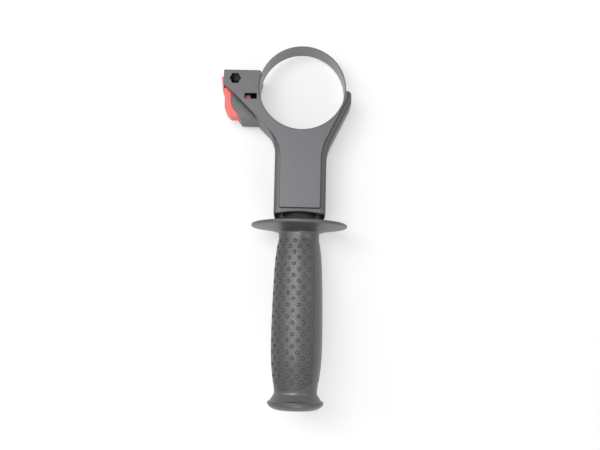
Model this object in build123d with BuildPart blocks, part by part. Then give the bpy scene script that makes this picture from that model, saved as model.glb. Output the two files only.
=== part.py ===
from build123d import *
from math import cos, degrees, radians, sin, sqrt, tan
import os

os.makedirs("parts", exist_ok=True)

# Frame
# The origin is the centre of the clamp ring and Z is the axis of the tool's collar.
# Y runs along the handle: the ring's far side is at +Y and the grip is at -Y.
# Z is also the way that the front panel faces.

# Clamp band
collar_radius = 30.0
band_thickness = 0.9
band_width = 20.0
tail_inner_gap = 8.4
tail_length = 12.0
tail_bend_radius = 2.2
band_seat_gap = 0.3

# Head of the yoke
panel_front = 16.0
panel_back = 18.0
core_height = 14.2
lip_gap = 0.2
panel_edge_round = 0.5
plate_left_x = -55.0
plate_top_y = 11.1
plate_diagonal_sum = -53.1
plate_corner_round = 1.6
plate_edge_round = 0.8
arm_outer_x = 34.6
arm_tip_y = -0.9
arm_tip_round = 3.2
arm_corner_y = -10.0
arm_corner_round = 4.0
arm_slope = 64.2
arm_bend_radius = 35.0
arm_ledge = 3.0
panel_tip_drop = 1.5
panel_tip_round = 0.7

# Neck and sleeve of the yoke
neck_half_width = 18.0
neck_bend_radius = 28.0
neck_edge_round = 4.0
ledge_width = 3.8
panel_corner_round = 0.9
sleeve_end = 90.3
sleeve_arch_depth = 2.2
sleeve_edge_round = 1.3
panel_end_gap = 5.0
cavity_radius = 11.8
cavity_depth = 10.3
tail_room = 18.0

# Button housing
housing_left_x = -50.4
housing_bottom_y = -21.7
housing_corner_x = -43.1
housing_corner_y = -11.4
housing_corner_round = 8.0
housing_front_z = 7.0
housing_overlap = 2.0
pocket_front_z = 4.5
pocket_back_z = -9.8
pocket_top_y = 9.6
pocket_bottom_y = -19.6
pocket_right_x = -36.2

# Depth rod channel and peg slot
rod_channel_x = -46.9
rod_channel_y = 5.1
rod_channel_flats = 7.0
slot_left_x = -40.1
slot_right_x = -31.6
slot_top_y = -5.4
slot_bottom_y = -9.4

# Release button
button_gap = 0.3
button_travel = 4.0
button_left_x = -57.4
button_lean = 1.2
button_face_x = -54.8
button_face_y = -3.8
button_step = 2.0
button_bend_y = -11.6
button_bend_radius = 8.6
button_toe_x = -50.0
fork_wall = 1.8
fork_gap = 0.6
prong_bite = 2.1
prong_width = 4.0
prong_top_gap = 1.0
shoulder_rise = 1.0
shoulder_gap = 1.0
peg_width = 3.6
peg_gap = 0.2
peg_top_z = 11.0

# Button spring
spring_radius = 2.0
spring_wire = 0.5
spring_hole_radius = 2.6
spring_hole_depth = 7.0
spring_y = -14.5
spring_turns = 6

# Bolt, nut and washer
bolt_radius = 4.0
bolt_head_length = 18.8
bolt_head_gap = 0.05
bolt_clearance = 0.3
bolt_end_chamfer = 1.0
bolt_past_nut = 27.5
thread_clearance = 0.05
nut_flats = 13.0
nut_height = 6.5
nut_depth = 2.1
washer_thickness = 1.6
washer_radius = 11.0

# Hub and flange of the grip
spigot_gap = 0.3
hub_gap = 1.7
hub_length = 2.9
hub_radius = 17.7
hub_bevel = 1.0
flange_radius = 33.6
flange_thickness = 2.3
flange_edge_round = 1.0
flange_dish = 1.2
trumpet_radius = 24.0
throat_radius = 16.2
throat_drop = 3.3

# Hand hold of the grip
# Each pair is a share of the belly's radius and a share of the way from the neck to the waist.
neck_drop = 7.5
hold_length = 108.1
belly_radius = 17.4
hold_shape = [(0.813, 0), (0.851, 0.08), (0.902, 0.144), (0.948, 0.255), (1, 0.56), (0.966, 0.847)]
hold_shape += [(0.853, 1)]
hold_end_slope = 0.1
hold_end_land = 0.4
pommel_radius = 19.35
pommel_drop = 6.9
flare_radius = 16.2
flare_rise = 3.2
pommel_edge = 0.5
hollow_radius = 10.5
hollow_gap = 9.5

# Soft pads
pad_turn = -22.5
pad_half_angle = 65.5
pad_half_width = 16.6
pad_top_gap = 0.5
pad_bottom_gap = 1.1
pad_arch_drop = 10.5
pad_depth = 1.6
pad_rise = 0.25
pad_joint_gap = 0.05
pad_corner_round = 13.0

# Nubs on the pads, in columns round the hold that are staggered by half a pitch
nub_radius = 1.15
nub_top_radius = 0.5
nub_height = 0.34
nub_root = 0.4
nub_sides = 6
nub_column_angle = 12.4
nub_columns = 9
nub_rows = 13
nub_first_gap = 5.2
nub_last_gap = 6.7

# End cap
cap_length = 5.4
cap_joint_gap = 0.1
cap_plug_length = 8.0
cap_plug_gap = 0.1
cap_shoulder_radius = 17.7
cap_shoulder_rise = 2.5
cap_flat_radius = 8.0

# Length by which a cutting shape runs past the solid it cuts
overrun = 5.0

# Positions along the handle, from the ring to the pommel
sleeve_end_y = -sleeve_end
panel_end_y = sleeve_end_y + panel_end_gap
cavity_floor_y = sleeve_end_y + cavity_depth
fold_y = -collar_radius - tail_length
web_top_y = fold_y - tail_room
hub_end_y = sleeve_end_y - hub_gap
flange_front_y = hub_end_y - hub_length
flange_back_y = flange_front_y - flange_thickness
nut_top_y = flange_front_y - nut_depth
bolt_end_y = nut_top_y - nut_height - bolt_past_nut
neck_y = flange_front_y - neck_drop
waist_y = neck_y - hold_length
pommel_y = waist_y - pommel_drop
cap_top_y = pommel_y - pommel_edge - cap_joint_gap
cap_end_y = cap_top_y - cap_length
hollow_start_y = nut_top_y - nut_height - hollow_gap


def save(part, name):
    part.label = name
    export_step(part, f"parts/{name}.step")


def near_vertex(sketch, x, y):
    return sketch.vertices().sort_by_distance(Vector(x, y, 0))[0]


lip_radius = collar_radius + lip_gap
band_outer_radius = collar_radius + band_thickness
seat_radius = band_outer_radius + band_seat_gap
tail_outer_x = tail_inner_gap / 2 + band_thickness

# Yoke outlines
# The neck's left side leaves the plate's diagonal edge, and its right side leaves the arm's slope.
slope_run = 1 / tan(radians(arm_slope))


def yoke_outline(half_width, inset, arm_x, tip_y, tip_round, end_y):
    """Front outline of the yoke, with the arm's slope set in by the inset."""
    slope_x = arm_outer_x - inset / sin(radians(arm_slope))
    corner_y = arm_corner_y + (arm_x - slope_x) / slope_run
    knee_y = arm_corner_y - (slope_x - half_width) / slope_run
    diagonal_knee_y = plate_diagonal_sum + half_width
    with BuildSketch() as outline:
        with BuildLine():
            Polyline(
                (plate_left_x, plate_top_y),
                (0, plate_top_y),
                (0, tip_y),
                (arm_x, tip_y),
                (arm_x, corner_y),
                (half_width, knee_y),
                (half_width, end_y),
                (-half_width, end_y),
                (-half_width, diagonal_knee_y),
                (plate_left_x, plate_diagonal_sum - plate_left_x),
                close=True,
            )
        make_face()
        fillet(near_vertex(outline, half_width, knee_y), arm_bend_radius)
        fillet(near_vertex(outline, -half_width, diagonal_knee_y), neck_bend_radius)
        fillet(near_vertex(outline, arm_x, corner_y), arm_corner_round)
        fillet(near_vertex(outline, arm_x, tip_y), tip_round)
        Circle(lip_radius, mode=Mode.SUBTRACT)
        corner_x = -sqrt(lip_radius**2 - plate_top_y**2)
        fillet(near_vertex(outline, corner_x, plate_top_y), plate_corner_round)
        fillet(near_vertex(outline, plate_left_x, plate_top_y), plate_edge_round)
    return outline.sketch


def loop_outline(radius, half_gap, bend, end_y):
    """Filled outline of a ring with a parallel channel leaving it towards the grip."""
    with BuildSketch() as loop:
        Circle(radius)
        with Locations((0, end_y / 2)):
            Rectangle(2 * half_gap, -end_y)
        root_y = -sqrt(radius**2 - half_gap**2)
        fillet(near_vertex(loop, half_gap, root_y), bend)
        fillet(near_vertex(loop, -half_gap, root_y), bend)
    return loop.sketch


core_outline = yoke_outline(neck_half_width, 0, arm_outer_x, arm_tip_y, arm_tip_round, sleeve_end_y)
panel_half_width = neck_half_width - ledge_width
panel_arm_x = arm_outer_x - arm_ledge
panel_tip_y = arm_tip_y - panel_tip_drop

with BuildSketch() as panel_sketch:
    add(
        yoke_outline(
            panel_half_width, ledge_width, panel_arm_x, panel_tip_y, panel_tip_round, panel_end_y
        )
    )
    fillet(near_vertex(panel_sketch, panel_half_width, panel_end_y), panel_corner_round)
    fillet(near_vertex(panel_sketch, -panel_half_width, panel_end_y), panel_corner_round)

with BuildPart() as raised_panel:
    with BuildSketch(Plane.XY.offset(-panel_back)):
        add(panel_sketch.sketch)
    extrude(amount=panel_back + panel_front)
    rim_edges = raised_panel.edges().filter_by(
        lambda e: abs(e.center().Z) > core_height and abs(e.tangent_at(0.5).Z) < 0.1
    )
    outer_edges = rim_edges.filter_by(
        lambda e: e.geom_type != GeomType.CIRCLE or abs(e.radius - lip_radius) > lip_gap / 2
    )
    fillet(outer_edges, panel_edge_round)

with BuildPart() as yoke:
    add(extrude(core_outline, amount=core_height, both=True, mode=Mode.PRIVATE))
    long_edges = (
        yoke.edges()
        .filter_by(lambda e: abs(abs(e.center().Z) - core_height) < 0.01)
        .filter_by(Axis.Y)
        .filter_by(lambda e: abs(abs(e.center().X) - neck_half_width) < 0.01)
    )
    fillet(long_edges, neck_edge_round)

    # The sleeve's end is arched back at the front and at the rear, and its edge is rounded
    arch_radius = (neck_half_width**2 + sleeve_arch_depth**2) / (2 * sleeve_arch_depth)
    with BuildSketch() as arch:
        with Locations((0, sleeve_end_y + sleeve_arch_depth - arch_radius)):
            Circle(arch_radius)
        with Locations((0, sleeve_end_y - overrun)):
            Rectangle(
                2 * arch_radius,
                overrun + sleeve_arch_depth,
                align=(Align.CENTER, Align.MIN),
                mode=Mode.INTERSECT,
            )
    extrude(amount=panel_back, both=True, mode=Mode.SUBTRACT)
    end_face = yoke.faces().filter_by(GeomType.CYLINDER).sort_by(Axis.Y)[0]
    fillet(end_face.edges(), sleeve_edge_round)
    add(raised_panel.part)

    # Button housing below the diagonal edge
    housing_right_x = plate_diagonal_sum - housing_bottom_y
    with BuildSketch(Plane.XY.offset(-panel_back)) as housing:
        with BuildLine():
            Polyline(
                (housing_left_x, plate_diagonal_sum - housing_left_x + housing_overlap),
                (housing_left_x, housing_corner_y),
                (housing_corner_x, housing_bottom_y),
                (housing_right_x, housing_bottom_y),
                (housing_right_x + housing_overlap, housing_bottom_y + housing_overlap),
                close=True,
            )
        make_face()
        fillet(near_vertex(housing, housing_left_x, housing_corner_y), housing_corner_round)
    extrude(amount=panel_back + housing_front_z)

    # Pocket for the release button, open to the left
    with BuildSketch(Plane.XY.offset(pocket_back_z)):
        with BuildLine():
            Polyline(
                (button_left_x - overrun, pocket_top_y),
                (pocket_right_x, pocket_top_y),
                (pocket_right_x, slot_top_y + shoulder_rise + shoulder_gap),
                (slot_right_x, slot_top_y + shoulder_rise + shoulder_gap),
                (slot_right_x, slot_bottom_y - shoulder_gap),
                (pocket_right_x, slot_bottom_y - shoulder_gap),
                (pocket_right_x, pocket_bottom_y),
                (button_left_x - overrun, pocket_bottom_y),
                close=True,
            )
        make_face()
    extrude(amount=pocket_front_z - pocket_back_z, mode=Mode.SUBTRACT)

    # Peg slot in the head plate
    with BuildSketch(Plane.XY.offset(pocket_front_z)):
        with Locations(((slot_left_x + slot_right_x) / 2, (slot_top_y + slot_bottom_y) / 2)):
            Rectangle(slot_right_x - slot_left_x, slot_top_y - slot_bottom_y)
    extrude(amount=panel_front, mode=Mode.SUBTRACT)

    # Hexagonal channel of the depth rod
    with BuildSketch(Plane.XY.offset(-panel_back)):
        with Locations((rod_channel_x, rod_channel_y)):
            RegularPolygon(rod_channel_flats / 2, 6, major_radius=False)
    extrude(amount=panel_back + panel_front, mode=Mode.SUBTRACT)

    # Seat of the band, sunk between the lips, and the tunnel of its tails
    with BuildSketch(Plane.XY.offset(-band_width / 2 - band_seat_gap)):
        seat_half_gap = tail_outer_x + band_seat_gap
        add(loop_outline(seat_radius, seat_half_gap, tail_bend_radius - band_seat_gap, web_top_y))
    extrude(amount=band_width + 2 * band_seat_gap, mode=Mode.SUBTRACT)

    # Bolt hole through the web, and the sleeve's cavity
    with BuildSketch(Plane.XZ.offset(-web_top_y)):
        Circle(bolt_radius + bolt_clearance)
    extrude(amount=web_top_y - cavity_floor_y, mode=Mode.SUBTRACT)
    with BuildSketch(Plane.XZ.offset(-cavity_floor_y)):
        Circle(cavity_radius)
    extrude(amount=cavity_floor_y - sleeve_end_y, mode=Mode.SUBTRACT)

save(yoke.part, "yoke")

# Clamp band: one strip, bent round the collar, with its folded tails round the bolt's head
with BuildPart() as clamp_band:
    with BuildSketch(Plane.XY.offset(-band_width / 2)):
        add(loop_outline(band_outer_radius, tail_outer_x, tail_bend_radius, fold_y))
        with Locations((0, fold_y)):
            Circle(tail_outer_x)
        add(
            loop_outline(collar_radius, tail_inner_gap / 2, tail_bend_radius + band_thickness, fold_y),
            mode=Mode.SUBTRACT,
        )
        with Locations((0, fold_y)):
            Circle(tail_inner_gap / 2, mode=Mode.SUBTRACT)
    extrude(amount=band_width)
    # Hole for the bolt's shank at the bottom of the fold
    with BuildSketch(Plane.XZ.offset(-fold_y)):
        Circle(bolt_radius + bolt_clearance)
    extrude(amount=tail_outer_x + overrun, mode=Mode.SUBTRACT)

save(clamp_band.part, "clamp_band")

# Tension bolt: a bar head that lies in the band's fold, and a long shank
with BuildPart() as tension_bolt:
    with BuildSketch(Plane.XY.offset(-bolt_head_length / 2)):
        with Locations((0, fold_y)):
            Circle(tail_inner_gap / 2 - bolt_head_gap)
    extrude(amount=bolt_head_length)
    with BuildSketch(Plane.XZ.offset(-fold_y)):
        Circle(bolt_radius)
    extrude(amount=fold_y - bolt_end_y)
    chamfer(tension_bolt.edges().sort_by(Axis.Y)[0], bolt_end_chamfer)

save(tension_bolt.part, "tension_bolt")

# Thrust washer on the cavity's floor
spigot_end_y = cavity_floor_y - washer_thickness
with BuildPart() as thrust_washer:
    with BuildSketch(Plane.XZ.offset(-cavity_floor_y)):
        Circle(washer_radius)
        Circle(bolt_radius + bolt_clearance, mode=Mode.SUBTRACT)
    extrude(amount=washer_thickness)

save(thrust_washer.part, "thrust_washer")

# Grip nut, moulded into the hub
with BuildPart() as grip_nut:
    with BuildSketch(Plane.XZ.offset(-nut_top_y)):
        RegularPolygon(nut_flats / 2, 6, major_radius=False)
        Circle(bolt_radius + thread_clearance, mode=Mode.SUBTRACT)
    extrude(amount=nut_height)

save(grip_nut.part, "grip_nut")

# Hand hold profile, from the neck to the waist
def hold_points(rise):
    return [(width * belly_radius + rise, neck_y - along * hold_length) for width, along in hold_shape]


hold_tangents = [(-hold_end_slope, -1), (-hold_end_slope, -1)]
with BuildPart() as grip_core:
    with BuildSketch() as profile:
        with BuildLine():
            rim_x = flange_radius - flange_edge_round
            start = hold_points(0)[0]
            finish = hold_points(0)[-1]
            Polyline(
                (0, spigot_end_y),
                (cavity_radius - spigot_gap, spigot_end_y),
                (cavity_radius - spigot_gap, hub_end_y),
                (hub_radius - hub_bevel, hub_end_y),
                (hub_radius, hub_end_y - hub_bevel),
                (hub_radius, flange_front_y + flange_dish / 2),
                (rim_x, flange_front_y),
            )
            ThreePointArc(
                (rim_x, flange_front_y),
                (flange_radius, (flange_front_y + flange_back_y) / 2),
                (rim_x, flange_back_y),
            )
            Line((rim_x, flange_back_y), (trumpet_radius, flange_back_y - flange_dish))
            Spline(
                (trumpet_radius, flange_back_y - flange_dish),
                (throat_radius, flange_back_y - throat_drop),
                (start[0] + hold_end_land * hold_end_slope, start[1] + hold_end_land),
                tangents=[(-1, -0.13), (-hold_end_slope, -1)],
            )
            Line((start[0] + hold_end_land * hold_end_slope, start[1] + hold_end_land), start)
            Spline(hold_points(0), tangents=hold_tangents)
            Line(finish, (finish[0] - hold_end_land * hold_end_slope, finish[1] - hold_end_land))
            Spline(
                (finish[0] - hold_end_land * hold_end_slope, finish[1] - hold_end_land),
                (flare_radius, pommel_y + flare_rise),
                (pommel_radius, pommel_y),
                tangents=[(-hold_end_slope, -1), (1, -0.25)],
            )
            Polyline(
                (pommel_radius, pommel_y),
                (pommel_radius, pommel_y - pommel_edge),
                (0, pommel_y - pommel_edge),
                (0, spigot_end_y),
            )
        make_face()
    revolve(axis=Axis.Y)
    # Bolt bore, nut seat and hollow
    with BuildSketch(Plane.XZ.offset(-spigot_end_y)):
        Circle(bolt_radius + bolt_clearance)
    extrude(amount=spigot_end_y - hollow_start_y, mode=Mode.SUBTRACT)
    with BuildSketch(Plane.XZ.offset(-nut_top_y)):
        RegularPolygon(nut_flats / 2, 6, major_radius=False)
    extrude(amount=nut_height, mode=Mode.SUBTRACT)
    with BuildSketch(Plane.XZ.offset(-hollow_start_y)):
        Circle(hollow_radius)
    extrude(amount=hollow_start_y - pommel_y + pommel_edge, mode=Mode.SUBTRACT)


def pad_plane(turn):
    """Plane through the grip's axis that faces out at an angle from the front."""
    across = (cos(radians(turn)), 0, -sin(radians(turn)))
    out = (sin(radians(turn)), 0, cos(radians(turn)))
    return Plane(origin=(0, 0, 0), x_dir=across, z_dir=out)


def pad_solid(turn, outer_points, depth, growth):
    """Soft pad that follows the hand hold over an arc, with an arched top and round corners."""
    half_angle = pad_half_angle + degrees(growth / pommel_radius)
    half_width = pad_half_width + growth
    top_y = neck_y - pad_top_gap + growth
    shoulder_y = top_y - pad_arch_drop
    bottom_y = waist_y + pad_bottom_gap - growth
    with BuildPart() as pad:
        with BuildSketch(pad_plane(turn - half_angle - 90)):
            with BuildLine():
                outer = Spline(outer_points, tangents=hold_tangents)
                inner = Spline(hold_points(-depth), tangents=hold_tangents)
                Line(outer @ 0, inner @ 0)
                Line(outer @ 1, inner @ 1)
            make_face()
        revolve(axis=Axis.Y, revolution_arc=2 * half_angle)
        with BuildSketch(pad_plane(turn)) as face:
            with BuildLine():
                ThreePointArc((-half_width, shoulder_y), (0, top_y), (half_width, shoulder_y))
                Polyline(
                    (half_width, shoulder_y),
                    (half_width, bottom_y),
                    (-half_width, bottom_y),
                    (-half_width, shoulder_y),
                )
            make_face()
            fillet(near_vertex(face, half_width, bottom_y), pad_corner_round)
            fillet(near_vertex(face, -half_width, bottom_y), pad_corner_round)
        extrude(amount=2 * pommel_radius, mode=Mode.INTERSECT)
    return pad.part


def nub_place(turn, y):
    """Where a nub stands on the pad: square to the hold's profile, turned round the grip's axis."""
    low = 0
    high = 1
    for halving in range(24):
        middle = (low + high) / 2
        if (pad_profile @ middle).Y > y:
            low = middle
        else:
            high = middle
    along = pad_profile % low
    square = Plane(origin=pad_profile @ low, x_dir=along, z_dir=(-along.Y, along.X, 0))
    return Rot(0, turn - 90, 0) * square.location


pad_profile = Spline(hold_points(pad_rise), tangents=hold_tangents)
nub_slope = (nub_radius - nub_top_radius) / nub_height
with BuildPart() as nub:
    with BuildSketch(Plane.XY.offset(-nub_root)):
        RegularPolygon(nub_radius + nub_root * nub_slope, nub_sides)
    with BuildSketch(Plane.XY.offset(nub_height)):
        RegularPolygon(nub_top_radius, nub_sides)
    loft(ruled=True)

nub_pitch = (hold_length - nub_first_gap - nub_last_gap) / (nub_rows - 1)
nubs = []
for column in range(nub_columns):
    turn = pad_turn + (column - (nub_columns - 1) / 2) * nub_column_angle
    stagger = (column + 1) % 2
    for row in range(nub_rows - stagger):
        nub_y = neck_y - nub_first_gap - (row + stagger / 2) * nub_pitch
        nubs.append(nub_place(turn, nub_y) * nub.part)

with BuildPart() as grip_pad_front:
    add(pad_solid(pad_turn, hold_points(pad_rise), pad_depth, 0))
    add(nubs)
save(grip_pad_front.part, "grip_pad_front")

# The back pad is the same moulding on the other side
grip_pad_back = Rot(0, 180, 0) * grip_pad_front.part
save(grip_pad_back, "grip_pad_back")

with BuildPart() as grip_body:
    add(grip_core.part)
    recess_depth = pad_depth + pad_joint_gap
    clear_points = [(pommel_radius, neck_y), (pommel_radius, waist_y)]
    add(pad_solid(pad_turn, clear_points, recess_depth, pad_joint_gap), mode=Mode.SUBTRACT)
    add(pad_solid(pad_turn + 180, clear_points, recess_depth, pad_joint_gap), mode=Mode.SUBTRACT)
save(grip_body.part, "grip_core")

# End cap with its plug in the grip's hollow
plug_radius = hollow_radius - cap_plug_gap
plug_end_y = cap_top_y + cap_plug_length
with BuildPart() as end_cap:
    with BuildSketch():
        with BuildLine():
            Polyline(
                (cap_flat_radius, cap_end_y),
                (0, cap_end_y),
                (0, plug_end_y),
                (plug_radius, plug_end_y),
                (plug_radius, cap_top_y),
                (pommel_radius, cap_top_y),
            )
            Spline(
                (pommel_radius, cap_top_y),
                (cap_shoulder_radius, cap_end_y + cap_shoulder_rise),
                (cap_flat_radius, cap_end_y),
                tangents=[(0, -1), (-1, 0)],
            )
        make_face()
    revolve(axis=Axis.Y)
save(end_cap.part, "end_cap")

# Release button: its fork holds the depth rod, and its peg shows in the slot
window_right_x = rod_channel_x + rod_channel_flats / sqrt(3) - prong_bite
window_bottom_y = rod_channel_y - rod_channel_flats / 2 - fork_gap
fork_inner_x = button_left_x + fork_wall
prong_right_x = window_right_x + prong_width
prong_top_y = pocket_top_y - prong_top_gap
body_right_x = pocket_right_x - button_travel - button_gap
peg_left_x = slot_left_x + peg_gap
peg_right_x = peg_left_x + peg_width
button_bottom_y = pocket_bottom_y + button_gap
with BuildPart() as release_button:
    with BuildSketch(Plane.XY.offset(pocket_back_z + button_gap)):
        with BuildLine():
            Polyline(
                (button_face_x, button_bend_y),
                (button_face_x, button_face_y),
                (button_left_x + button_lean, button_face_y + button_step),
                (button_left_x, pocket_top_y - button_gap),
                (fork_inner_x, pocket_top_y - button_gap),
                (fork_inner_x, window_bottom_y),
                (window_right_x, window_bottom_y),
                (window_right_x, prong_top_y),
                (prong_right_x, prong_top_y),
                (prong_right_x, slot_top_y + shoulder_rise),
                (peg_right_x, slot_top_y + shoulder_rise),
                (peg_right_x, slot_bottom_y),
                (body_right_x, slot_bottom_y),
                (body_right_x, button_bottom_y),
                (button_toe_x, button_bottom_y),
            )
            RadiusArc((button_toe_x, button_bottom_y), (button_face_x, button_bend_y), button_bend_radius)
        make_face()
    extrude(amount=pocket_front_z - pocket_back_z - 2 * button_gap)
    with BuildSketch(Plane.XY.offset(pocket_front_z - button_gap)):
        with Locations(((peg_left_x + peg_right_x) / 2, (slot_top_y + slot_bottom_y) / 2)):
            Rectangle(peg_width, slot_top_y - slot_bottom_y - 2 * button_gap)
    extrude(amount=peg_top_z - pocket_front_z)
    # Blind hole of the spring
    with BuildSketch(Plane.YZ.offset(body_right_x)):
        with Locations((spring_y, (pocket_front_z + pocket_back_z) / 2)):
            Circle(spring_hole_radius)
    extrude(amount=-spring_hole_depth, mode=Mode.SUBTRACT)
save(release_button.part, "release_button")

# Button spring
spring_start_x = body_right_x - spring_hole_depth
spring_length = pocket_right_x - spring_start_x
with BuildPart() as button_spring:
    coil_length = spring_length - 2 * spring_wire
    with BuildLine() as coil:
        Helix(
            coil_length / spring_turns,
            coil_length,
            spring_radius,
            center=(spring_start_x + spring_wire, spring_y, (pocket_front_z + pocket_back_z) / 2),
            direction=(1, 0, 0),
        )
    with BuildSketch(Plane(origin=coil.line @ 0, z_dir=coil.line % 0)):
        RegularPolygon(spring_wire / 2, 6)
    sweep()
save(button_spring.part, "button_spring")
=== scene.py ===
import bpy
import bmesh
from math import cos, radians, sin
from mathutils import Matrix, Vector
from mathutils.bvhtree import BVHTree


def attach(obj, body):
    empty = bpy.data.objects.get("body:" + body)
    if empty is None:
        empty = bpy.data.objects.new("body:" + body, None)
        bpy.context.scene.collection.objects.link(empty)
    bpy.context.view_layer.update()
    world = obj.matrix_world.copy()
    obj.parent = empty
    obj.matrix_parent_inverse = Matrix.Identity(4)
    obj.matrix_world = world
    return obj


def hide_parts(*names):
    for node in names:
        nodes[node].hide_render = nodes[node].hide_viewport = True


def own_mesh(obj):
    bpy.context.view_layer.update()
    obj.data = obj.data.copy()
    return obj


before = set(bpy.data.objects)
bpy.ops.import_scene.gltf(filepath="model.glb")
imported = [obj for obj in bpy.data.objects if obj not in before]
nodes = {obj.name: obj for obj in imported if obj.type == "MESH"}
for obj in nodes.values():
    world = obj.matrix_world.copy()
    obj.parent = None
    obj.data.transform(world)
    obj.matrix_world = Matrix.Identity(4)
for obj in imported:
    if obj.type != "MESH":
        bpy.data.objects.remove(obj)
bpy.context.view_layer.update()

# Camera, above the table and within three degrees of its upright.
# The handle lies tilted on its guard and its head, so in the handle's own frame the camera leans
# towards the grip and stands a little turned.
camera_data = bpy.data.cameras.new("camera")
camera_data.lens = 55.26
camera_data.sensor_width = 36
camera_data.clip_start = 0.05
camera_data.clip_end = 20
camera = bpy.data.objects.new("camera", camera_data)
camera.location = (0.00056, -0.17412, 0.64156)
camera.rotation_euler = (radians(7.0), radians(-0.158), radians(1.29))
bpy.context.scene.collection.objects.link(camera)
bpy.context.scene.camera = camera


# Table top: a sheet of plain white board, bright enough to lose its edges.
# The handle touches it at three places: the guard's rim, the corner of the head's plate and the
# tip of the right arm, so the board lies in the plane through those.
class Socket:
    """One output of a shader node, for sums written as expressions."""

    def __init__(self, finish, socket):
        self.finish = finish
        self.socket = socket

    def combine(self, operation, first, second):
        return self.finish.node("ShaderNodeMath", {"operation": operation}, {0: first, 1: second})

    def __add__(self, other):
        return self.combine("ADD", self, other)

    def __radd__(self, other):
        return self.combine("ADD", other, self)

    def __sub__(self, other):
        return self.combine("SUBTRACT", self, other)

    def __rsub__(self, other):
        return self.combine("SUBTRACT", other, self)

    def __mul__(self, other):
        return self.combine("MULTIPLY", self, other)

    def __rmul__(self, other):
        return self.combine("MULTIPLY", other, self)


class Finish:
    """A material of the object, built from a Principled shader."""

    def __init__(self, name, **constants):
        self.material = bpy.data.materials.new(name)
        self.material.use_nodes = True
        self.tree = self.material.node_tree
        self.shader = self.tree.nodes["Principled BSDF"]
        self.place = Socket(self, self.tree.nodes.new("ShaderNodeTexCoord").outputs["Object"])
        for socket, value in constants.items():
            self.shader.inputs[socket.replace("_", " ")].default_value = value

    def node(self, kind, settings, inputs, output=0):
        """Adds a node: its settings first, then the values or links of its sockets."""
        made = self.tree.nodes.new(kind)
        for name, value in settings.items():
            if name == "stops":
                ramp = made.color_ramp.elements
                for number, (position, shade) in enumerate(value):
                    stop = ramp[number] if number < 2 else ramp.new(position)
                    stop.position = position
                    stop.color = (shade, shade, shade, 1)
            else:
                setattr(made, name, value)
        for name, value in inputs.items():
            self.link(value, made.inputs[name])
        return Socket(self, made.outputs[output])

    def link(self, value, target):
        if isinstance(value, Socket):
            self.tree.links.new(value.socket, target)
        else:
            target.default_value = value

    def set(self, **sockets):
        for name, value in sockets.items():
            self.link(value, self.shader.inputs[name.replace("_", " ")])

    def noise(self, scale, detail=2.0, roughness=0.5):
        """Cloudy noise from 0 to 1 with so many cells to the metre."""
        sockets = {"Vector": self.place, "Scale": scale, "Detail": detail, "Roughness": roughness}
        return self.node("ShaderNodeTexNoise", {}, sockets)

    def ramp(self, value, *stops):
        return self.node("ShaderNodeValToRGB", {"stops": stops}, {"Fac": value})

    def mix(self, share, first, second):
        """Colour that goes from the first to the second as the share goes from 0 to 1."""
        sockets = {"Factor": share, 6: first, 7: second}
        return self.node("ShaderNodeMix", {"data_type": "RGBA"}, sockets, output=2)

    def open_air(self, reach):
        """1 on open faces, towards 0 in corners and holes."""
        sockets = {"Distance": reach}
        return self.node("ShaderNodeAmbientOcclusion", {"samples": 8}, sockets, output=1)

    def facing(self):
        """1 on faces square to the collar's axis, 0 on the walls between them."""
        normal = Socket(self, self.place.socket.node.outputs["Normal"])
        along = self.node("ShaderNodeSeparateXYZ", {}, {"Vector": normal}, output=2)
        return self.node("ShaderNodeMath", {"operation": "ABSOLUTE"}, {0: along})

    def bump(self, height, strength, distance, edge_round=0.0):
        """Surface relief, and hard edges softened where a radius is given."""
        sockets = {"Height": height, "Strength": strength, "Distance": distance}
        if edge_round:
            sockets["Normal"] = self.node("ShaderNodeBevel", {"samples": 4}, {"Radius": edge_round})
        return self.node("ShaderNodeBump", {}, sockets)

    def dress(self, *objects):
        for item in objects:
            item.data.materials.clear()
            item.data.materials.append(self.material)


guard_rim = Vector((0, -0.096, -0.0336))
plate_corner = Vector((-0.031, 0.0111, -0.018))
arm_tip = Vector((0.0308, -0.003, -0.018))
board_gap = 0.0001
board_half_width = 3
board_normal = (plate_corner - guard_rim).cross(arm_tip - guard_rim).normalized()
if board_normal.z < 0:
    board_normal = -board_normal
lowest = min(board_normal.dot(v.co) for piece in nodes.values() for v in piece.data.vertices)
board_mesh = bmesh.new()
bmesh.ops.create_grid(board_mesh, x_segments=1, y_segments=1, size=board_half_width)
board_turn = Vector((0, 0, 1)).rotation_difference(board_normal).to_matrix().to_4x4()
board_place = Matrix.Translation(board_normal * (lowest - board_gap)) @ board_turn
bmesh.ops.transform(board_mesh, matrix=board_place, verts=board_mesh.verts)
board = bpy.data.objects.new("table_top", bpy.data.meshes.new("table_top"))
board_mesh.to_mesh(board.data)
board_mesh.free()
bpy.context.scene.collection.objects.link(board)
white_board = Finish("white_board", Roughness=0.7, Specular_IOR_Level=0.2)
white_board.set(Base_Color=(0.93, 0.93, 0.93, 1))
paper_glow = white_board.node("ShaderNodeEmission", {}, {"Color": (1, 1, 1, 1), "Strength": 1.0})
seen, mirrored, looked_through = (
    white_board.node("ShaderNodeLightPath", {}, {}, output=ray)
    for ray in ("Is Camera Ray", "Is Glossy Ray", "Is Transmission Ray")
)
board_mix = white_board.tree.nodes.new("ShaderNodeMixShader")
glow_share = 0.45
white_board.link((seen + mirrored + looked_through) * glow_share, board_mix.inputs[0])
board_output = white_board.tree.nodes["Material Output"]
white_board.tree.links.new(white_board.shader.outputs[0], board_mix.inputs[1])
white_board.link(paper_glow, board_mix.inputs[2])
white_board.tree.links.new(board_mix.outputs[0], board_output.inputs["Surface"])
white_board.dress(board)

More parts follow.
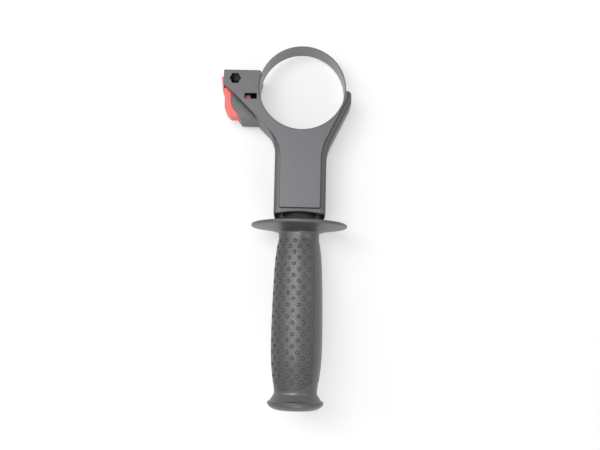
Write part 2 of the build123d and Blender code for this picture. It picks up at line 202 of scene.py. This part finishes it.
# Studio light: a soft box overhead, weaker ones at both sides and at the grip's end, and a room.
# The box overhead gives the flat faces and the grip their sheen. The left one is stronger than
# the right one, so the shadows fall to the right.
lit_point = Vector((0, -0.09, 0))
box_length_share = 1.6
for name, place, width, power in (
    ("lamp_above", (-0.22, 0.02, 1.08), 0.40, 7.8),
    ("lamp_left", (-0.70, 0.05, 0.70), 0.5, 3.6),
    ("lamp_right", (0.75, 0.05, 0.75), 0.5, 1.9),
    ("lamp_end", (0.10, -0.95, 0.45), 0.4, 2.6),
):
    lamp_data = bpy.data.lights.new(name, "AREA")
    lamp_data.shape = "RECTANGLE"
    lamp_data.size = width
    lamp_data.size_y = width * box_length_share
    lamp_data.energy = power
    lamp = bpy.data.objects.new(name, lamp_data)
    lamp.location = place
    lamp.rotation_euler = (lit_point - lamp.location).to_track_quat("-Z", "Y").to_euler()
    bpy.context.scene.collection.objects.link(lamp)
room = bpy.data.worlds.new("room")
room.use_nodes = True
room.node_tree.nodes["Background"].inputs["Color"].default_value = (1, 1, 1, 1)
room_rays = room.node_tree.nodes.new("ShaderNodeLightPath")
room_light = 0.2
room_strength = None
for ray in ("Is Camera Ray", "Is Glossy Ray", "Is Transmission Ray"):
    share = room.node_tree.nodes.new("ShaderNodeMath")
    share.operation = "MULTIPLY_ADD"
    share.inputs[1].default_value = 1 - room_light
    share.inputs[2].default_value = room_light
    room.node_tree.links.new(room_rays.outputs[ray], share.inputs[0])
    if room_strength:
        room.node_tree.links.new(room_strength, share.inputs[2])
    room_strength = share.outputs[0]
room.node_tree.links.new(room_strength, room.node_tree.nodes["Background"].inputs["Strength"])
bpy.context.scene.world = room
bpy.context.scene.view_settings.view_transform = "Standard"

# Yoke: the head, neck and sleeve, moulded in one piece of glass filled nylon.
# The spark eroded mould leaves a fine even grain, and the dark grey nylon is faintly cloudy where
# the glass comes near the surface. Painted shade darkens its corners, side walls and sleeve end.
sleeve_shade_y = -0.0902
nylon = Finish("yoke_nylon", Roughness=0.45, Specular_IOR_Level=0.5)
cloud = nylon.noise(70, 4, 0.6)
grain = nylon.noise(3200, 2, 0.6)
speck = nylon.ramp(nylon.noise(5200, 1, 0.5), (0.62, 0), (0.74, 1))
shade = nylon.mix(cloud, (0.054, 0.056, 0.061, 1), (0.084, 0.087, 0.094, 1))
shade = nylon.mix(speck * 0.25, shade, (0.20, 0.20, 0.21, 1))
# Painted shade: ambient occlusion darkens the nylon in its corners and hollows.
corners = nylon.ramp(nylon.open_air(0.0035), (0.58, 0.0), (0.975, 1.0))
painted_hollow_shade = nylon.ramp(nylon.open_air(0.012), (0.20, 0.0), (0.75, 1.0))
# Painted shade: the walls between the front and back faces are darkened.
walls = nylon.ramp(nylon.facing(), (0.15, 0.35), (0.75, 1.0))
along_grip = nylon.node("ShaderNodeSeparateXYZ", {}, {"Vector": nylon.place}, output=1)
# Painted shade: the sleeve's end, shadowed by the flange, is made near black and rougher.
painted_sleeve_end_shade = nylon.ramp((along_grip - sleeve_shade_y) * 1000, (0.3, 1.0), (1.0, 0.0)) * (1.35 - walls)
nylon.set(
    Base_Color=nylon.mix(corners * painted_hollow_shade * walls * (1 - painted_sleeve_end_shade), (0.012, 0.012, 0.013, 1), shade),
    Roughness=0.30 + cloud * 0.10 + grain * 0.08 + painted_sleeve_end_shade * 0.5,
    Normal=nylon.bump(grain, 0.35, 0.00008, 0.0005),
)
nylon.dress(nodes["yoke"])

# Clamp band: a strip of steel 20 mm wide, rolled round the collar, with a dark treated surface.
# Its ends run down into the neck and close round the bolt's head. The loop closes on the collar
# as the bolt draws the folded tails down, so they are two pieces that part inside the neck.
treated_steel = Finish("treated_strip_steel", Metallic=0.25, Roughness=0.26)
roll_stretch = (1, 1, 60)
roll_sockets = {"Vector": treated_steel.place, "Scale": roll_stretch}
roll_place = treated_steel.node("ShaderNodeMapping", {}, roll_sockets)
roll_lines = treated_steel.node("ShaderNodeTexNoise", {}, {"Vector": roll_place, "Scale": 90, "Detail": 3})
stain = treated_steel.noise(60, 3, 0.6)
treated_steel.set(
    Base_Color=treated_steel.mix(stain, (0.085, 0.085, 0.082, 1), (0.135, 0.135, 0.130, 1)),
    Roughness=0.20 + roll_lines * 0.12 + stain * 0.06,
    Normal=treated_steel.bump(roll_lines, 0.15, 0.00005),
)
band_split_y = -0.036
for name, keep_above in (("band_loop", True), ("band_tails", False)):
    strip = bmesh.new()
    strip.from_mesh(nodes["clamp_band"].data)
    bmesh.ops.remove_doubles(strip, verts=strip.verts, dist=1e-6)
    cut = bmesh.ops.bisect_plane(
        strip,
        geom=strip.verts[:] + strip.edges[:] + strip.faces[:],
        plane_co=(0, band_split_y, 0),
        plane_no=(0, 1, 0),
        clear_inner=keep_above,
        clear_outer=not keep_above,
    )
    cut_edges = [item for item in cut["geom_cut"] if isinstance(item, bmesh.types.BMEdge)]
    bmesh.ops.holes_fill(strip, edges=cut_edges)
    piece = bpy.data.objects.new(name, bpy.data.meshes.new(name))
    strip.to_mesh(piece.data)
    strip.free()
    piece.data.polygons.foreach_set("use_smooth", [True] * len(piece.data.polygons))
    piece.data.set_sharp_from_angle(angle=radians(35))
    bpy.context.scene.collection.objects.link(piece)
    treated_steel.dress(piece)
    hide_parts("clamp_band")
    if keep_above:
        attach(piece, "holder")
        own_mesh(piece)
    else:
        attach(piece, "bolt")

# Bolt, nut and washer: zinc plated steel, inside the neck and the hub.
# The bolt's bar head lies in the band's fold, and the nut is moulded into the grip.
zinc = Finish("zinc_plate", Metallic=1.0, Roughness=0.3)
bloom = zinc.noise(180, 3, 0.6)
zinc.set(
    Base_Color=zinc.mix(bloom, (0.52, 0.53, 0.54, 1), (0.70, 0.70, 0.69, 1)),
    Roughness=0.26 + bloom * 0.2,
)
zinc.dress(nodes["tension_bolt"], nodes["grip_nut"], nodes["thrust_washer"])

# Grip core and end cap: black nylon mouldings with a satin skin. The core is hub, guard and hand
# hold in one piece, with two recesses for the soft pads, and the cap closes its end. The hub,
# the hollows and the narrow seams are darkened with painted shade.
satin_nylon = Finish("grip_nylon", Roughness=0.32, Specular_IOR_Level=0.8)
haze = satin_nylon.noise(110, 2, 0.5)
skin = satin_nylon.noise(2400, 2, 0.6)
satin_shade = satin_nylon.mix(haze, (0.044, 0.045, 0.047, 1), (0.062, 0.063, 0.066, 1))
# Painted shade: ambient occlusion darkens the grip's hollows and narrow seams.
painted_grip_hollow_shade = satin_nylon.ramp(satin_nylon.open_air(0.014), (0.35, 0.0), (0.90, 1.0))
painted_seam_shade = satin_nylon.ramp(satin_nylon.open_air(0.0008), (0.50, 0.0), (0.93, 1.0))
# Painted shade: the hub, shadowed inside the sleeve, is made near black and matte.
hub_shade_end_y = -0.0952
hub_place = satin_nylon.node("ShaderNodeSeparateXYZ", {}, {"Vector": satin_nylon.place}, output=1)
painted_hub_shade = satin_nylon.ramp((hub_place - hub_shade_end_y) * 1000, (0.0, 1.0), (0.6, 0.0))
satin_nylon.set(
    Base_Color=satin_nylon.mix(painted_grip_hollow_shade * painted_seam_shade * painted_hub_shade, (0.008, 0.008, 0.008, 1), satin_shade),
    Roughness=0.92 - painted_hub_shade * (0.60 - haze * 0.06 - skin * 0.06),
    Normal=satin_nylon.bump(skin, 0.12, 0.00005),
)
satin_nylon.dress(nodes["grip_core"], nodes["end_cap"])

# Soft pads: two skins of thermoplastic rubber, moulded into the recesses of the hand hold.
# Rows of small round nubs stand on them for the fingers, and the rubber has a coarse matte grain.
soft_rubber = Finish("soft_rubber", Roughness=0.45, Specular_IOR_Level=0.6)
pebble = soft_rubber.noise(1500, 3, 0.7)
bloom_grey = soft_rubber.noise(90, 2, 0.5)
rubber_shade = soft_rubber.mix(bloom_grey, (0.046, 0.048, 0.052, 1), (0.074, 0.076, 0.082, 1))
pits = soft_rubber.ramp(pebble, (0.42, 0), (0.58, 1)) * 0.9
rubber_shade = soft_rubber.mix(pits, rubber_shade, (0.022, 0.022, 0.024, 1))
# Painted shade: ambient occlusion darkens the rubber round the nubs' feet and in tight corners.
painted_nub_foot_shade = soft_rubber.ramp(soft_rubber.open_air(0.0018), (0.70, 0.0), (0.98, 1.0))
soft_rubber.set(
    Base_Color=soft_rubber.mix(painted_nub_foot_shade, (0.004, 0.004, 0.004, 1), rubber_shade),
    Roughness=0.28 + pebble * 0.16,
    Normal=soft_rubber.bump(pebble, 0.8, 0.0002),
)
soft_rubber.dress(nodes["grip_pad_front"], nodes["grip_pad_back"])

# The nubs are low round domes over the solids' plain ones, in nine columns that are staggered
# by half a pitch, thirteen or twelve to a column.
nub_base_radius = 0.00125
nub_height = 0.0007
nub_columns = 9
nub_rows = 13
column_angle = radians(12.4)
row_pitch = 0.0080167
first_row_y = -0.1076
front_turn = radians(-22.5)
slope_reach = 0.0008
dome = bmesh.new()
bmesh.ops.create_uvsphere(dome, u_segments=12, v_segments=10, radius=nub_base_radius)
bmesh.ops.bisect_plane(
    dome,
    geom=dome.verts[:] + dome.edges[:] + dome.faces[:],
    plane_co=(0, 0, -nub_base_radius * 0.4),
    plane_no=(0, 0, 1),
    clear_inner=True,
)
bmesh.ops.scale(dome, vec=(1, 1, nub_height / nub_base_radius), verts=dome.verts)
dome_mesh = bpy.data.meshes.new("nub")
dome.to_mesh(dome_mesh)
dome.free()


def pad_radius(pad_tree, angle, y):
    """Radius of a pad's outer face, met from outside."""
    outward = Vector((sin(angle), 0, cos(angle)))
    hit = pad_tree.ray_cast(Vector((0, y, 0)) + outward * 0.03, -outward)
    return Vector((hit[0].x, 0, hit[0].z)).length


for name, pad_name, pad_turn in (
    ("nubs_front", "grip_pad_front", front_turn),
    ("nubs_back", "grip_pad_back", front_turn + radians(180)),
):
    pad = nodes[pad_name].data
    pad_tree = BVHTree.FromPolygons([v.co for v in pad.vertices], [p.vertices for p in pad.polygons])
    domes = bmesh.new()
    for column in range(nub_columns):
        stagger = (column + 1) % 2
        angle = pad_turn + (column - nub_columns // 2) * column_angle
        between = angle + column_angle / 2 * (1 if column < nub_columns - 1 else -1)
        for row in range(nub_rows - stagger):
            y = first_row_y - (row + stagger / 2) * row_pitch
            above = pad_radius(pad_tree, between, y + slope_reach)
            below = pad_radius(pad_tree, between, y - slope_reach)
            outward = Vector((sin(angle), (below - above) / (2 * slope_reach), cos(angle))).normalized()
            across = Vector((cos(angle), 0, -sin(angle)))
            foot_radius = pad_radius(pad_tree, between, y)
            place = Matrix((across, outward.cross(across), outward)).transposed().to_4x4()
            place.translation = Vector((sin(angle) * foot_radius, y, cos(angle) * foot_radius))
            placed = len(domes.verts)
            domes.from_mesh(dome_mesh)
            domes.verts.ensure_lookup_table()
            bmesh.ops.transform(domes, matrix=place, verts=domes.verts[placed:])
    bmesh.ops.recalc_face_normals(domes, faces=domes.faces)
    nubs = bpy.data.objects.new(name, bpy.data.meshes.new(name))
    domes.to_mesh(nubs.data)
    domes.free()
    nubs.data.polygons.foreach_set("use_smooth", [True] * len(nubs.data.polygons))
    bpy.context.scene.collection.objects.link(nubs)
    soft_rubber.dress(nubs)
    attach(nubs, "grip")

# Release button: moulded in coral red acetal, with the fork, peg and finger piece in one.
# It slides in the head's pocket on its two flat faces, and painted shade darkens its red deep inside.
acetal = Finish("red_acetal", Roughness=0.38, Specular_IOR_Level=0.5)
tone = acetal.noise(160, 2, 0.5)
acetal_skin = acetal.noise(2600, 2, 0.6)
coral = acetal.mix(tone, (0.80, 0.085, 0.068, 1), (0.88, 0.115, 0.095, 1))
# Painted shade: ambient occlusion darkens the red deep inside the pocket and slot.
painted_pocket_shade = acetal.ramp(acetal.open_air(0.012), (0.10, 0.0), (0.45, 1.0))
acetal.set(
    Base_Color=acetal.mix(painted_pocket_shade, (0.03, 0.002, 0.002, 1), coral),
    Roughness=0.34 + acetal_skin * 0.1,
    Normal=acetal.bump(acetal_skin, 0.1, 0.00005, 0.0005),
)
acetal.dress(nodes["release_button"])

# Button spring: six turns of bright spring wire in the button's blind hole.
# Pressing the button closes its coils against the wall of the pocket.
spring_wire = Finish("spring_wire", Metallic=1.0, Roughness=0.25)
wire_tone = spring_wire.noise(900, 2, 0.5)
spring_wire.set(
    Base_Color=spring_wire.mix(wire_tone, (0.45, 0.45, 0.46, 1), (0.60, 0.60, 0.60, 1)),
    Roughness=0.22 + wire_tone * 0.1,
)
coils = bmesh.new()
coils.from_mesh(nodes["button_spring"].data)
bmesh.ops.remove_doubles(coils, verts=coils.verts, dist=1e-6)
spring = bpy.data.objects.new("spring_coils", bpy.data.meshes.new("spring_coils"))
coils.to_mesh(spring.data)
coils.free()
spring.data.polygons.foreach_set("use_smooth", [True] * len(spring.data.polygons))
bpy.context.scene.collection.objects.link(spring)
spring_wire.dress(spring)
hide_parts("button_spring")
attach(spring, "holder")
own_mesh(spring)
